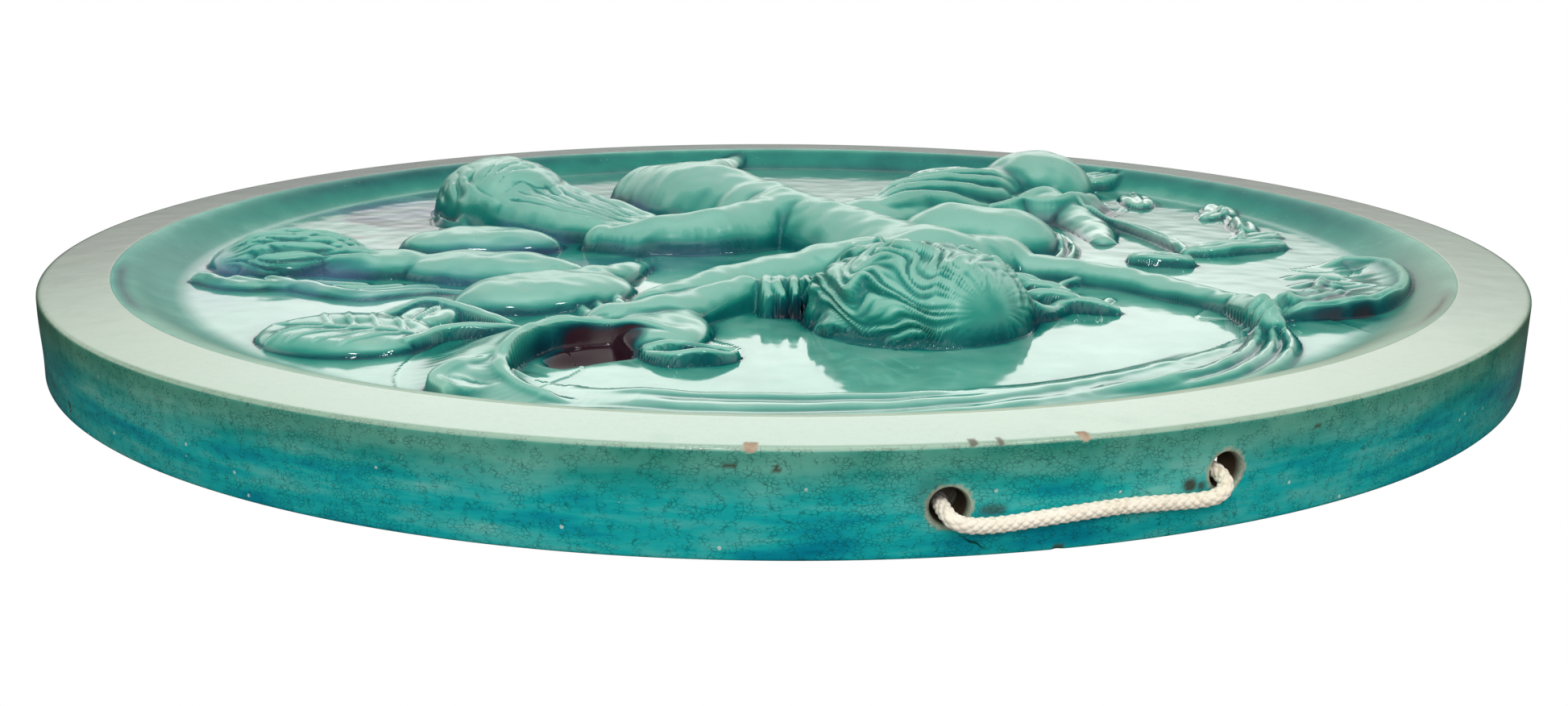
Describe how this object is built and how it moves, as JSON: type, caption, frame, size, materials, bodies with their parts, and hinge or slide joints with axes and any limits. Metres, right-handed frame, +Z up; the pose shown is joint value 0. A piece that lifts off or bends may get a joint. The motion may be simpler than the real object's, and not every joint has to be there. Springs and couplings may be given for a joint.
{
  "type": "ceramic wall charger",
  "caption": "Round glazed ceramic charger with a figure relief of a flying nymph and putto, a flat rim, a hollow back and a hanging cord.",
  "frame": {"origin": "on the wall, where the top of the foot ring rests against it, midway between the two cord holes", "axes": "+Y into the wall, so the face looks along -Y; +Z up; +X to the right as the charger is looked at"},
  "size_m": [0.45, 0.0415, 0.4546],
  "materials": {
    "turquoise_glaze": "thick turquoise and sea-green pooled glaze, glossy, finely crazed",
    "braided_cord": "cream braided cotton-like cord, matt"
  },
  "bodies": {
    "root": {"charger": "turquoise_glaze", "hanging_cord": "braided_cord", "cord_knot_left": "braided_cord", "cord_knot_right": "braided_cord"}
  },
  "joints": []
}
